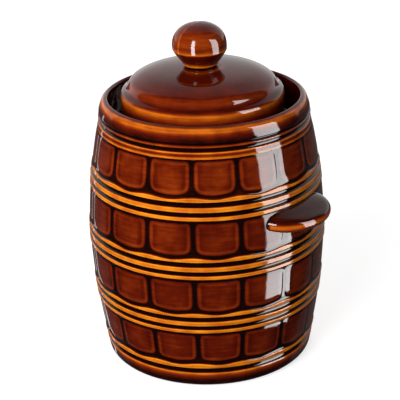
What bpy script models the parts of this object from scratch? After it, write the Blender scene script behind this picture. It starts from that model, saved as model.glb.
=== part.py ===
"""Stoneware fermentation crock in the shape of a hooped barrel, with a water-sealed lid.

Sizes are in metres and +Z is up. The origin is the middle of the base on the table.
The two half-moon handles point along +X and -X.
"""

import math

import bmesh
import bpy
from mathutils import Vector

# Clearance between two pieces that touch, and the facets that a turned piece is made of
SEAT_GAP = 0.0003
STAVES = 16
FACETS_PER_STAVE = 3
KNOB_FACETS = 32

# Barrel outline, measured over the crests of the hoops
BARREL_HEIGHT = 0.2265
BELLY_RADIUS = 0.1000
FOOT_RADIUS = 0.0862
COLLAR_RADIUS = 0.0844
BULGE_POWER = 1.8

# Courses of the barrel's relief, stacked from the table up
FOOT_ROUND = 0.0070
FOOT_BAND_HEIGHT = 0.0150
FOOT_GROOVE = 0.0046
FOOT_RIDGE = 0.0050
LOWER_RIDGE = 0.0035
LOWER_GROOVE = 0.0026
MIDDLE_RIDGE = 0.0056
UPPER_GROOVE = 0.0031
UPPER_RIDGE = 0.0045
COLLAR_GROOVE = 0.0043
BEAD_HEIGHT = 0.0018
BEAD_GROOVE = 0.0018
COLLAR_BAND_HEIGHT = 0.0080
LIP_HEIGHT = 0.0037

# Rows of stave panels between the hoops. Their height is what the hoops leave of the barrel's
ROWS = 4
BOTTOM_PANEL_SHARE = 0.895
STAVE_GROOVE = 0.0042
FLANK_BELOW_PANELS = 0.0020
FLANK_BELOW_BOTTOM_PANELS = 0.0041
FLANK_ABOVE_PANELS = 0.0010
GROOVE_DEPTH = 0.0024
PANEL_RECESS = 0.0010
PANEL_EDGE = 0.0010
PANEL_CORNER = 0.0024
PANEL_LIFT = 0.0012
SCALLOP = 0.0009
COLLAR_BULGE = 0.0005

# Inside of the barrel
WALL = 0.0090
FLOOR_HEIGHT = 0.0120
FLOOR_FILLET = 0.0060
SHOULDER_FILLET = 0.0060
FOOT_RING_WIDTH = 0.0090
FOOT_RING_HEIGHT = 0.0025

# Water channel and the neck that stands inside it
COLLAR_WALL = 0.0058
CHANNEL_DEPTH = 0.0315
CHANNEL_FLOOR_THICKNESS = 0.0080
CHANNEL_FILLET = 0.0020
MOUTH_RADIUS = 0.0550
NECK_WALL = 0.0050
NECK_RISE = 0.0010

# Lid
NECK_CLEARANCE = 0.0023
LID_WALL = 0.0050
LID_SKIRT_HEIGHT = 0.0335
LID_ROLL = 0.0026
LID_STEP_WIDTH = 0.0030
LID_CROWN_HEIGHT = 0.0136
LID_CROWN_RISE = 0.0055
LID_CROWN_POWER = 5.0
VENT_RADIUS = 0.0040

# Knob
KNOB_FOOT_RADIUS = 0.0148
KNOB_FOOT_HEIGHT = 0.0032
KNOB_UNDERCUT = 0.0012
KNOB_CONE_HEIGHT = 0.0096
KNOB_ARRIS_RADIUS = 0.0208
KNOB_RADIUS = 0.0227
KNOB_BALL_HEIGHT = 0.0232
KNOB_BALL_SHOULDER = 0.0045

# Half-moon handles
HANDLE_HALF_WIDTH = 0.0347
HANDLE_REACH = 0.0297
HANDLE_INSET = 0.0110
HANDLE_HEIGHT_SHARE = 0.63
HANDLE_THICKNESS = 0.0120
HANDLE_HOLLOW = 0.0012
HANDLE_NOSE = 0.0052

# Half-disc weights on the floor of the crock
WEIGHT_CLEARANCE = 0.0026
WEIGHT_THICKNESS = 0.0150
WEIGHT_SPLIT = 0.0030
WEIGHT_EDGE = 0.0020
FINGER_NOTCH_RADIUS = 0.0100

# Finishes as linear colour and roughness
GLAZE_BARREL = ((0.190, 0.040, 0.006), 0.12)
GLAZE_HANDLE = ((0.230, 0.050, 0.007), 0.12)
GLAZE_LID = ((0.160, 0.030, 0.005), 0.08)
GLAZE_KNOB = ((0.340, 0.085, 0.010), 0.08)
BARE_STONEWARE = ((0.480, 0.340, 0.220), 0.75)


# Shared helpers

def clear_scene():
    """Remove every object that the scene holds."""
    for old in list(bpy.data.objects):
        bpy.data.objects.remove(old, do_unlink=True)


def finish_material(name, finish):
    """Make a plain fired finish from a colour and a roughness."""
    colour, roughness = finish
    material = bpy.data.materials.new(name)
    material.use_nodes = True
    shader = material.node_tree.nodes["Principled BSDF"]
    shader.inputs["Base Color"].default_value = (*colour, 1.0)
    shader.inputs["Roughness"].default_value = roughness
    shader.inputs["Metallic"].default_value = 0.0
    return material


def add_object(name, bm, finish=None, location=(0.0, 0.0, 0.0), turn=0.0, parent=None):
    """Turn a bmesh into a smooth-shaded object with its own material."""
    bmesh.ops.recalc_face_normals(bm, faces=bm.faces)
    mesh = bpy.data.meshes.new(name)
    bm.to_mesh(mesh)
    bm.free()
    mesh.shade_smooth()
    mesh.set_sharp_from_angle(angle=math.radians(40))
    made = bpy.data.objects.new(name, mesh)
    made.location = location
    made.rotation_euler = (0.0, 0.0, turn)
    made.parent = parent
    bpy.context.scene.collection.objects.link(made)
    if finish is not None:
        mesh.materials.append(finish_material(name + "_finish", finish))
    return made


def hide_cutter(cutter):
    """Keep a cutting shape out of the finished crock."""
    cutter.hide_render = True
    cutter.display_type = "WIRE"


def cut(target, cutter):
    """Take the cutter's shape out of the target."""
    modifier = target.modifiers.new(cutter.name, "BOOLEAN")
    modifier.operation = "DIFFERENCE"
    modifier.solver = "EXACT"
    modifier.object = cutter


def arc(middle, radius, start, end, steps):
    """Points of a round corner in the (radius, height) plane, with angles in degrees."""
    points = []
    for step in range(steps + 1):
        angle = math.radians(start + (end - start) * step / steps)
        points.append((middle[0] + radius * math.cos(angle), middle[1] + radius * math.sin(angle)))
    return points


def turned(outline, facets, start_angle=0.0):
    """Spin an outline of (radius, height) points about the Z axis into a closed skin."""
    bm = bmesh.new()
    rim = [bm.verts.new((r * math.cos(start_angle), r * math.sin(start_angle), z)) for r, z in outline]
    edges = [bm.edges.new(pair) for pair in zip(rim, rim[1:])]
    bmesh.ops.spin(
        bm, geom=rim + edges, cent=(0, 0, 0), axis=(0, 0, 1), angle=math.tau, steps=facets, use_merge=True
    )
    bmesh.ops.remove_doubles(bm, verts=bm.verts, dist=1e-6)
    bmesh.ops.recalc_face_normals(bm, faces=bm.faces)
    return bm


# Heights that the pieces share

def panel_height():
    """Height of an upper panel: the hoops, the foot and the collar leave this much to each row."""
    hoop = LOWER_RIDGE + LOWER_GROOVE + MIDDLE_RIDGE + UPPER_GROOVE + UPPER_RIDGE
    foot = FOOT_BAND_HEIGHT + FOOT_GROOVE + FOOT_RIDGE
    collar = LOWER_RIDGE + COLLAR_GROOVE + BEAD_HEIGHT + BEAD_GROOVE + COLLAR_BAND_HEIGHT + LIP_HEIGHT
    flanks = FLANK_BELOW_BOTTOM_PANELS + (ROWS - 1) * FLANK_BELOW_PANELS
    flanks += ROWS * (STAVE_GROOVE + FLANK_ABOVE_PANELS)
    left = BARREL_HEIGHT - foot - collar - flanks - (ROWS - 1) * hoop
    return left / (ROWS - 1 + BOTTOM_PANEL_SHARE)


def barrel_courses():
    """Stack the relief from the table up as (kind, low, high, flank below)."""
    upper_row = FLANK_BELOW_PANELS + STAVE_GROOVE + panel_height() + FLANK_ABOVE_PANELS
    bottom_panel = panel_height() * BOTTOM_PANEL_SHARE
    bottom_row = FLANK_BELOW_BOTTOM_PANELS + STAVE_GROOVE + bottom_panel + FLANK_ABOVE_PANELS
    hoop = [
        ("ridge", LOWER_RIDGE, 0.0),
        ("groove", LOWER_GROOVE, 0.0),
        ("ridge", MIDDLE_RIDGE, 0.0),
        ("groove", UPPER_GROOVE, 0.0),
        ("ridge", UPPER_RIDGE, 0.0),
    ]
    stack = [("foot", FOOT_BAND_HEIGHT, 0.0), ("groove", FOOT_GROOVE, 0.0), ("ridge", FOOT_RIDGE, 0.0)]
    stack.append(("panels", bottom_row, FLANK_BELOW_BOTTOM_PANELS))
    for _ in range(ROWS - 1):
        stack += hoop
        stack.append(("panels", upper_row, FLANK_BELOW_PANELS))
    stack += [
        ("ridge", LOWER_RIDGE, 0.0),
        ("groove", COLLAR_GROOVE, 0.0),
        ("ridge", BEAD_HEIGHT, 0.0),
        ("groove", BEAD_GROOVE, 0.0),
        ("collar", COLLAR_BAND_HEIGHT, 0.0),
    ]
    courses = []
    low = 0.0
    for kind, height, flank in stack:
        courses.append((kind, low, low + height, flank))
        low += height
    return courses


COURSES = barrel_courses()
COLLAR_TOP = COURSES[-1][2]
BODY_HEIGHT = COLLAR_TOP + LIP_HEIGHT
MIDDLE_RIDGES = [c for c in COURSES if c[0] == "ridge" and abs(c[2] - c[1] - MIDDLE_RIDGE) < 1e-9]
BELLY_RIDGE = MIDDLE_RIDGES[len(MIDDLE_RIDGES) // 2]
BELLY_HEIGHT = (BELLY_RIDGE[1] + BELLY_RIDGE[2]) / 2
CHANNEL_FLOOR = BODY_HEIGHT - CHANNEL_DEPTH
NECK_TOP = BODY_HEIGHT + NECK_RISE
NECK_RADIUS = MOUTH_RADIUS + NECK_WALL
LID_INSIDE_RADIUS = NECK_RADIUS + NECK_CLEARANCE
LID_RADIUS = LID_INSIDE_RADIUS + LID_WALL
HANDLE_AXIS = BELLY_RADIUS - HANDLE_INSET
HANDLE_HEIGHT = BODY_HEIGHT * HANDLE_HEIGHT_SHARE


def crest(height):
    """Radius over the crests of the hoops at a height."""
    if height < BELLY_HEIGHT:
        end_radius = FOOT_RADIUS
        reach = BELLY_HEIGHT
    else:
        end_radius = COLLAR_RADIUS
        reach = BODY_HEIGHT - BELLY_HEIGHT
    share = abs(height - BELLY_HEIGHT) / reach
    return BELLY_RADIUS - (BELLY_RADIUS - end_radius) * share ** BULGE_POWER


def panel_rows():
    """Lowest and highest height of the groove floor that each row of panels stands on."""
    rows = []
    for kind, low, high, flank in COURSES:
        if kind == "panels":
            rows.append((low + flank, high - FLANK_ABOVE_PANELS))
    return rows


# Barrel

def relief_outline(swell=0.0):
    """Outer outline from the foot's flat ring up to the collar, swollen by a clearance."""
    foot_middle = (crest(FOOT_ROUND) - FOOT_ROUND, FOOT_ROUND)
    points = arc(foot_middle, FOOT_ROUND, -90, 0, 3)
    for kind, low, high, flank in COURSES:
        middle = (low + high) / 2
        if kind == "foot":
            upper = (FOOT_ROUND + high) / 2
            points += [(crest(upper), upper), (crest(high), high)]
        elif kind == "ridge":
            points += [(crest(low), low), (crest(high), high)]
        elif kind == "groove":
            points.append((crest(middle) - GROOVE_DEPTH, middle))
        elif kind == "panels":
            floor_low = low + flank
            floor_high = high - FLANK_ABOVE_PANELS
            points.append((crest(floor_low) - GROOVE_DEPTH, floor_low))
            points.append((crest(floor_high) - GROOVE_DEPTH, floor_high))
        else:
            points += [(crest(low), low), (crest(middle) + COLLAR_BULGE, middle), (crest(high), high)]
    return [(radius + swell, height) for radius, height in points]


def lip_outline():
    """Rounded lip of the collar, from its outer arris over to its inner one."""
    outer = crest(COLLAR_TOP)
    inner = crest(BODY_HEIGHT) - COLLAR_WALL
    middle = (outer + inner) / 2
    half = (outer - inner) / 2
    points = []
    for angle in (36, 72, 108, 144, 180):
        turn = math.radians(angle)
        points.append((middle + half * math.cos(turn), COLLAR_TOP + LIP_HEIGHT * math.sin(turn)))
    return points


def channel_outline():
    """Water channel, from the lip down the collar's inner side and up over the neck."""
    fillet = min(CHANNEL_FILLET, NECK_CLEARANCE * 0.8)
    wall_foot = crest(CHANNEL_FLOOR) - WALL
    neck_round = NECK_WALL / 2
    points = [
        (wall_foot, CHANNEL_FLOOR + fillet),
        (wall_foot - fillet, CHANNEL_FLOOR),
        (NECK_RADIUS + fillet, CHANNEL_FLOOR),
        (NECK_RADIUS, CHANNEL_FLOOR + fillet),
    ]
    points += arc((NECK_RADIUS - neck_round, NECK_TOP - neck_round), neck_round, 0, 180, 4)
    return points


def inside_outline():
    """Inside of the barrel, from the neck's bore under the channel and down to the floor."""
    shoulder = CHANNEL_FLOOR - CHANNEL_FLOOR_THICKNESS
    top = shoulder - SHOULDER_FILLET
    bottom = FLOOR_HEIGHT + FLOOR_FILLET
    points = [(MOUTH_RADIUS, shoulder)]
    points += arc((crest(top) - WALL - SHOULDER_FILLET, top), SHOULDER_FILLET, 90, 0, 2)
    heights = 6
    for step in range(1, heights):
        height = top + (bottom - top) * step / heights
        points.append((crest(height) - WALL, height))
    points += arc((crest(bottom) - WALL - FLOOR_FILLET, bottom), FLOOR_FILLET, 0, -90, 2)
    points.append((0.0, FLOOR_HEIGHT))
    return points


def stave_of(face):
    """Number of the stave that a face of the barrel lies on, counted from +X."""
    middle = face.calc_center_median()
    turn = math.atan2(middle.y, middle.x) / math.tau
    return round(turn * STAVES) % STAVES


def on_relief(face, row):
    """Whether a face belongs to the groove floor of a row of panels."""
    middle = face.calc_center_median()
    radius = math.hypot(middle.x, middle.y)
    return row[0] < middle.z < row[1] and radius > crest(middle.z) - (GROOVE_DEPTH + WALL) / 2


def scallop_floors(bm):
    """Let the edge under each row of panels rise at the stave joints and dip between them."""
    for low, _ in panel_rows():
        ridge_top = max(high for kind, _, high, _ in COURSES if kind == "ridge" and high < low)
        for vert in bm.verts:
            radius = math.hypot(vert.co.x, vert.co.y)
            on_edge = min(abs(vert.co.z - low), abs(vert.co.z - ridge_top)) < 1e-6
            if on_edge and radius > crest(low) - (GROOVE_DEPTH + WALL) / 2:
                turn = math.atan2(vert.co.y, vert.co.x)
                vert.co.z -= SCALLOP * math.cos(STAVES * turn)


def lift_region(region):
    """Stretch a region of faces upwards, so that only its lower edge stays in place."""
    verts = {vert for face in region for vert in face.verts}
    low = min(vert.co.z for vert in verts)
    high = max(vert.co.z for vert in verts)
    for vert in verts:
        vert.co.z += PANEL_LIFT * (vert.co.z - low) / (high - low)


def corner_edges(region):
    """Edges that run out from the four corners of a region to the ring around it."""
    faces = set(region)
    inside = {vert for face in region for vert in face.verts}
    edges = []
    for vert in inside:
        if sum(face in faces for face in vert.link_faces) == 1:
            edges += [edge for edge in vert.link_edges if edge.other_vert(vert) not in inside]
    return edges


def raise_panels(bm):
    """Raise one panel with rounded corners on every stave of every row."""
    scallop_floors(bm)
    corners = []
    for row in panel_rows():
        floor = [face for face in bm.faces if on_relief(face, row)]
        for stave in range(STAVES):
            region = [face for face in floor if stave_of(face) == stave]
            bmesh.ops.inset_region(
                bm, faces=region, thickness=STAVE_GROOVE / 2 - PANEL_EDGE, use_even_offset=True
            )
            lift_region(region)
            bmesh.ops.inset_region(
                bm, faces=region, thickness=PANEL_EDGE, depth=GROOVE_DEPTH - PANEL_RECESS, use_even_offset=True
            )
            corners += corner_edges(region)
    bmesh.ops.bevel(
        bm,
        geom=corners,
        offset=PANEL_CORNER,
        segments=1,
        profile=0.5,
        affect="EDGES",
        clamp_overlap=True,
        material=-1,
    )


def barrel_skin(outline):
    """Spin a barrel outline with a facet edge on every stave joint, and raise its panels."""
    bm = turned(outline, STAVES * FACETS_PER_STAVE, start_angle=math.pi / STAVES)
    raise_panels(bm)
    return bm


def make_crock_body():
    """Barrel with its hoops, panels, collar, water channel, neck and foot ring."""
    ring_inside = crest(FOOT_ROUND) - FOOT_ROUND - FOOT_RING_WIDTH
    outline = [(0.0, FOOT_RING_HEIGHT), (ring_inside - FOOT_RING_HEIGHT, FOOT_RING_HEIGHT), (ring_inside, 0.0)]
    outline += relief_outline()
    outline += lip_outline()
    outline += channel_outline()
    outline += inside_outline()
    return add_object("crock_body", barrel_skin(outline), GLAZE_BARREL)


# Handles

def handle_outline():
    """Section of a handle from the middle of its top over the nose to the middle of its underside."""
    half = HANDLE_THICKNESS / 2
    nose_middle = HANDLE_HALF_WIDTH - HANDLE_NOSE
    top = half - HANDLE_NOSE
    points = [(0.0, half - HANDLE_HOLLOW), (nose_middle * 0.75, half - HANDLE_HOLLOW)]
    points += arc((nose_middle, top), HANDLE_NOSE, 100, -90, 6)
    points += [(nose_middle * 0.75, top - HANDLE_NOSE + HANDLE_HOLLOW), (0.0, -half)]
    return points


def make_handle(name, turn, barrel_cutter):
    """Half-moon ledge whose back follows the barrel that it is luted to."""
    bm = turned(handle_outline(), STAVES * 2)
    bmesh.ops.scale(bm, vec=Vector((HANDLE_REACH / HANDLE_HALF_WIDTH, 1.0, 1.0)), verts=bm.verts)
    place = (HANDLE_AXIS * math.cos(turn), HANDLE_AXIS * math.sin(turn), HANDLE_HEIGHT)
    handle = add_object(name, bm, GLAZE_HANDLE, location=place, turn=turn)
    cut(handle, barrel_cutter)


def make_handles():
    """Two handles, cut to the barrel's relief with a seat gap."""
    outline = [(0.0, 0.0)] + relief_outline(SEAT_GAP) + [(0.0, BODY_HEIGHT)]
    cutter = add_object("barrel_cutter", barrel_skin(outline))
    hide_cutter(cutter)
    make_handle("handle_right", 0.0, cutter)
    make_handle("handle_left", math.pi, cutter)


# Lid and knob

def lid_crown(radius, crown_radius):
    """Height of the crown above its own foot: nearly flat on top and steep at its edge."""
    return LID_CROWN_HEIGHT * (1 - (radius / crown_radius) ** LID_CROWN_POWER)


def lid_outline():
    """Closed section of the lid, with the lower edge of its skirt at height 0."""
    roll_middle = (LID_RADIUS - LID_ROLL, LID_SKIRT_HEIGHT)
    crown_radius = LID_RADIUS - LID_ROLL - LID_STEP_WIDTH
    crown_foot = LID_SKIRT_HEIGHT + LID_ROLL + LID_CROWN_RISE
    edge = LID_WALL / 5
    under = LID_WALL * 1.15
    shares = (0.97, 0.9, 0.8, 0.67, 0.5, 0.25, 0.0)
    outer = [(LID_RADIUS - edge, 0.0), (LID_RADIUS, edge)]
    outer += arc(roll_middle, LID_ROLL, 0, 80, 3)
    outer.append((crown_radius + LID_STEP_WIDTH * 0.55, LID_SKIRT_HEIGHT + LID_ROLL * 1.5))
    outer.append((crown_radius, crown_foot))
    outer += [(crown_radius * s, crown_foot + lid_crown(crown_radius * s, crown_radius)) for s in shares]
    inner = []
    for share in reversed(shares[2:]):
        radius = (crown_radius - LID_WALL) * share / shares[2]
        inner.append((radius, crown_foot + lid_crown(radius, crown_radius) - under))
    inner += [(LID_INSIDE_RADIUS, LID_SKIRT_HEIGHT), (LID_INSIDE_RADIUS, edge), (LID_INSIDE_RADIUS + edge, 0.0)]
    return outer + inner


def make_lid():
    """Lid whose skirt stands in the water channel, with a vent notch at the front and the back."""
    outline = lid_outline()
    bm = turned(outline + outline[:1], STAVES * FACETS_PER_STAVE)
    lid = add_object("lid", bm, GLAZE_LID, location=(0.0, 0.0, CHANNEL_FLOOR + SEAT_GAP))
    notch = bmesh.new()
    bmesh.ops.create_cone(
        notch, cap_ends=True, segments=12, radius1=VENT_RADIUS, radius2=VENT_RADIUS, depth=LID_RADIUS * 3
    )
    vent = add_object("vent_cutter", notch, location=lid.location)
    vent.rotation_euler = (math.radians(90), 0.0, 0.0)
    hide_cutter(vent)
    cut(lid, vent)
    return lid, max(height for _, height in outline)


def knob_outline():
    """Section of the knob, with its foot at height 0."""
    foot = KNOB_FOOT_RADIUS
    arris_height = KNOB_FOOT_HEIGHT + KNOB_CONE_HEIGHT
    ball_middle = arris_height + KNOB_BALL_SHOULDER
    ball_rise = KNOB_BALL_HEIGHT - KNOB_BALL_SHOULDER
    points = [
        (0.0, 0.0),
        (foot - KNOB_UNDERCUT, 0.0),
        (foot - KNOB_UNDERCUT, KNOB_UNDERCUT),
        (foot, KNOB_UNDERCUT * 1.4),
        (foot, KNOB_FOOT_HEIGHT),
        ((foot * 1.2 + KNOB_ARRIS_RADIUS * 0.8) / 2, (KNOB_FOOT_HEIGHT + arris_height) / 2),
        (KNOB_ARRIS_RADIUS, arris_height),
    ]
    lift = (KNOB_ARRIS_RADIUS + KNOB_RADIUS) / 2 + (KNOB_RADIUS - KNOB_ARRIS_RADIUS) / 4
    points.append((lift, arris_height + KNOB_BALL_SHOULDER * 0.4))
    for angle in (0, 15, 30, 45, 60, 75):
        turn = math.radians(angle)
        points.append((KNOB_RADIUS * math.cos(turn), ball_middle + ball_rise * math.sin(turn)))
    points.append((0.0, ball_middle + ball_rise))
    return points


def make_knob(lid, lid_top):
    """Ball knob luted to the middle of the lid."""
    bm = turned(knob_outline(), KNOB_FACETS)
    add_object("lid_knob", bm, GLAZE_KNOB, location=(0.0, 0.0, lid_top + SEAT_GAP), parent=lid)


# Weights

def weight_outline(radius):
    """Half disc on the +Y side, with a finger notch in the middle of its straight edge."""
    edge = WEIGHT_SPLIT / 2
    start = math.degrees(math.asin(edge / radius))
    points = arc((0.0, 0.0), radius, start, 180 - start, 20)
    notch_start = math.degrees(math.asin(edge / FINGER_NOTCH_RADIUS))
    points += arc((0.0, 0.0), FINGER_NOTCH_RADIUS, 180 - notch_start, notch_start, 8)
    return points


def make_weight(name, turn):
    """One of the two stoneware half discs that hold the food under the brine."""
    radius = crest(FLOOR_HEIGHT + FLOOR_FILLET) - WALL - FLOOR_FILLET - WEIGHT_CLEARANCE
    bm = bmesh.new()
    base = bm.faces.new([bm.verts.new((x, y, 0.0)) for x, y in weight_outline(radius)])
    lifted = bmesh.ops.extrude_face_region(bm, geom=[base])["geom"]
    top = [part for part in lifted if isinstance(part, bmesh.types.BMVert)]
    bmesh.ops.translate(bm, vec=Vector((0.0, 0.0, WEIGHT_THICKNESS)), verts=top)
    place = (0.0, 0.0, FLOOR_HEIGHT + SEAT_GAP)
    weight = add_object(name, bm, BARE_STONEWARE, location=place, turn=turn)
    bevel = weight.modifiers.new("worn_edge", "BEVEL")
    bevel.width = WEIGHT_EDGE
    bevel.segments = 2
    bevel.limit_method = "ANGLE"
    bevel.angle_limit = math.radians(40)


def main():
    """Build the crock."""
    clear_scene()
    make_crock_body()
    make_handles()
    lid, lid_top = make_lid()
    make_knob(lid, lid_top)
    make_weight("weight_back", 0.0)
    make_weight("weight_front", math.pi)


main()
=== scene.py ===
# %% [markdown]
# A glazed stoneware fermentation crock, dressed around its imported frame. The frame gives the
# size and the place of every piece, and says what moves. This script gives the pieces their
# soft, glazed surfaces, and it never moves or resizes the frame. We keep the frame's box from
# straight after loading and print it.

# %% Load the frame
import math

import bmesh
import bpy
import numpy as np
from mathutils import Matrix, Vector

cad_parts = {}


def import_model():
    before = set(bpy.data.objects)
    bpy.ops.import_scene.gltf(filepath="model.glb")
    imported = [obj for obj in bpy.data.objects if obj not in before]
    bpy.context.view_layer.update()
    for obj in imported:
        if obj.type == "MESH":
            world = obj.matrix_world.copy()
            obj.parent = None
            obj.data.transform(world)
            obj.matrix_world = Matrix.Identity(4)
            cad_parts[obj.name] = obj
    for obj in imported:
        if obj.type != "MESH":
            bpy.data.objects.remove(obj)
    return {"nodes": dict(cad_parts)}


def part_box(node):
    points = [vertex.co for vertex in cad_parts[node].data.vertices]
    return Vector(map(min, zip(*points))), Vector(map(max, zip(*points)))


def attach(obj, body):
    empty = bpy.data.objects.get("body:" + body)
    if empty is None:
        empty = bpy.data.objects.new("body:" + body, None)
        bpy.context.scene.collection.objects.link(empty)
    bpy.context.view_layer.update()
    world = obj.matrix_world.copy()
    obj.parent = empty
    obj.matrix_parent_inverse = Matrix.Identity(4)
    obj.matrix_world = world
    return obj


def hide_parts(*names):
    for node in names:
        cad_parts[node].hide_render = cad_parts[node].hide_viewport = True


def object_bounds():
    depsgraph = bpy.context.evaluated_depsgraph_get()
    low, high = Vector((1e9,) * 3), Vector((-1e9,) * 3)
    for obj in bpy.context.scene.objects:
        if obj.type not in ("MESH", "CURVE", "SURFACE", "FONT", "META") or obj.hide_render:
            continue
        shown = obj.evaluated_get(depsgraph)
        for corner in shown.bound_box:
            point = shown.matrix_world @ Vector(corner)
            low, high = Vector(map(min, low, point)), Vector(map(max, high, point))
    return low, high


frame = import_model()
frame_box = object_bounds()
print("frame box in metres:", frame_box)

# %% [markdown]
# A potter turns a barrel, a lid and a knob against a template. We do the same: an outline is
# spun about the Z axis. A Screw modifier could do it too, but a bmesh spin leaves real faces,
# which the next steps can press and cut. Outlines are written in millimetres, as pairs of radius
# and height, because those numbers are easy to compare with a ruler. A full spin needs
# use_merge, or the seam stays open, and points on the axis come out doubled, so we merge them.
# After that the normals are made to point outwards.

# %% Spin an outline
MM = 0.001
SAME_PLACE = 1e-6


def arc(middle, radius, start, end, steps):
    """Points of a round corner in the outline's plane, in millimetres and degrees."""
    points = []
    for step in range(steps + 1):
        turn = math.radians(start + (end - start) * step / steps)
        points.append((middle[0] + radius * math.cos(turn), middle[1] + radius * math.sin(turn)))
    return points


def spun(outline, steps, start_angle=0.0):
    """Spin an outline in millimetres about the Z axis into a closed bmesh in metres."""
    bm = bmesh.new()
    across = MM * math.cos(start_angle)
    along = MM * math.sin(start_angle)
    rim = [bm.verts.new((r * across, r * along, z * MM)) for r, z in outline]
    edges = [bm.edges.new(pair) for pair in zip(rim, rim[1:])]
    bmesh.ops.spin(bm, geom=rim + edges, cent=(0, 0, 0), axis=(0, 0, 1), angle=math.tau,
                   steps=steps, use_merge=True)
    bmesh.ops.remove_doubles(bm, verts=bm.verts, dist=SAME_PLACE)
    bmesh.ops.recalc_face_normals(bm, faces=bm.faces)
    return bm


# %% [markdown]
# A bmesh is a workbench. A finished shape becomes an object that sits at the origin, with its
# place in its mesh. Subdivision Surface then rounds it, as glaze rounds every edge of a pot. The
# modifier could stay live, but later we store a tone on the final points, so we keep the result
# as the piece's own mesh.

# %% Turn a bmesh into a piece
def to_object(bm, name):
    """Put a finished bmesh into a smooth-shaded object that sits at the origin."""
    mesh = bpy.data.meshes.new(name)
    bm.to_mesh(mesh)
    bm.free()
    mesh.shade_smooth()
    made = bpy.data.objects.new(name, mesh)
    bpy.context.scene.collection.objects.link(made)
    return made


def baked_shape(made):
    """Replace a piece's mesh with the one that its modifiers give, and drop the modifiers."""
    bpy.context.view_layer.update()
    evaluated = made.evaluated_get(bpy.context.evaluated_depsgraph_get())
    shaped = bpy.data.meshes.new_from_object(evaluated)
    made.modifiers.clear()
    made.data = shaped
    shaped.name = made.name
    shaped.shade_smooth()
    return made


def subdivided(made, levels=1):
    """Soften a piece with Subdivision Surface and keep the result as its own mesh."""
    modifier = made.modifiers.new("soften", "SUBSURF")
    modifier.levels = levels
    modifier.render_levels = levels
    return baked_shape(made)


# %% [markdown]
# The barrel's relief is a stack of courses from the table up: plain ridges like the hoops of a
# cask, grooves between them, and four rows of stave panels. A bump in the glaze would leave the
# outline smooth, so all of this is real shape. We list the courses once, with their heights,
# and build the outline from them. The crests of the hoops touch one curve, whose widest radius
# comes from the frame, so the crock keeps the frame's size. FLANKS says how far a row of panels
# keeps from the hoop below it and from the hoop above it.

# %% The courses of the barrel
BELLY_RADIUS = (frame_box[1][1] - frame_box[0][1]) / 2 / MM
BELLY_HEIGHT = 113.1
FOOT_RADIUS = 86.2
COLLAR_RADIUS = 84.2
BODY_HEIGHT = 226.5
BULGE_POWER = 1.8

HOOP = [("ridge", 3.0), ("groove", 3.6), ("ridge", 4.1), ("groove", 4.1), ("scalloped", 2.8)]
COURSES = [("foot", 14.7), ("groove", 4.5), ("scalloped", 3.8), ("bottom panels", 31.6)]
COURSES += HOOP + [("panels", 32.0)] + HOOP + [("panels", 32.0)] + HOOP + [("top panels", 31.2)]
COURSES += [("ridge", 4.7), ("groove", 3.5), ("bead", 1.9), ("groove", 1.6), ("collar", 8.5)]
FLANKS = {"panels": (1.5, 1.3), "bottom panels": (2.4, 1.3), "top panels": (1.5, 1.0)}


def crest(height):
    """Radius over the crests of the hoops at a height, in millimetres."""
    if height < BELLY_HEIGHT:
        end_radius = FOOT_RADIUS
        reach = BELLY_HEIGHT
    else:
        end_radius = COLLAR_RADIUS
        reach = BODY_HEIGHT - BELLY_HEIGHT
    share = abs(height - BELLY_HEIGHT) / reach
    return BELLY_RADIUS - (BELLY_RADIUS - end_radius) * share ** BULGE_POWER


def stacked():
    """Yield each course as (kind, low, high)."""
    low = 0.0
    for kind, height in COURSES:
        yield kind, low, low + height
        low += height


print("height of the courses:", sum(height for _, height in COURSES), "mm")

# %% [markdown]
# A ridge is a flat band between two soft edges. Glaze runs thin over those edges, so they have
# to be there in the mesh: each edge gets two points, and the band between them dips slightly.
# The ridge under the collar stands a little further back than the rest. A groove gets two floor
# points. The floor under a row of panels gets a few rows of points, which later carry the panels.

# %% The outline of the relief
FOOT_ROUND = 7.0
FOOT_MIDDLE = 11.0
FOOT_EDGE = 0.6
ARRIS = 0.45
ARRIS_DROP = 0.35
BAND_DIP = 0.18
FLARE = 0.1
TOP_RIDGE = 202.0
TOP_SET_BACK = 0.9
BEAD_DROP = 0.3
GROOVE_DEPTH = 2.4
GROOVE_WIDTH = 0.55
COLLAR_TUCK = 0.4
COLLAR_FOOT = 0.7
COLLAR_SWELL = 0.5
COLLAR_HEAD = 0.9
PANEL_FLOOR_DEPTH = 1.15
PANEL_FLOOR_START = 0.6
PANEL_ROWS = 4


def band(low, high):
    """A ridge: two softened edges with a slightly hollow band between them."""
    middle = (low + high) / 2
    points = [
        (crest(low) - ARRIS_DROP, low),
        (crest(low), low + ARRIS),
        (crest(middle) - BAND_DIP, middle),
        (crest(high), high - ARRIS),
        (crest(high) - ARRIS_DROP, high),
    ]
    set_back = TOP_SET_BACK if low > TOP_RIDGE else 0.0
    return [(radius - set_back, height) for radius, height in points]


def panel_floor(kind, low, high):
    """Rows of points under the panels, a little below the crests of the hoops."""
    below, above = FLANKS[kind]
    points = [(crest(low) - PANEL_FLOOR_DEPTH, low + PANEL_FLOOR_START)]
    for row in range(PANEL_ROWS + 1):
        height = low + below + (high - low - below - above) * row / PANEL_ROWS
        points.append((crest(height) - PANEL_FLOOR_DEPTH, height))
    return points


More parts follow.
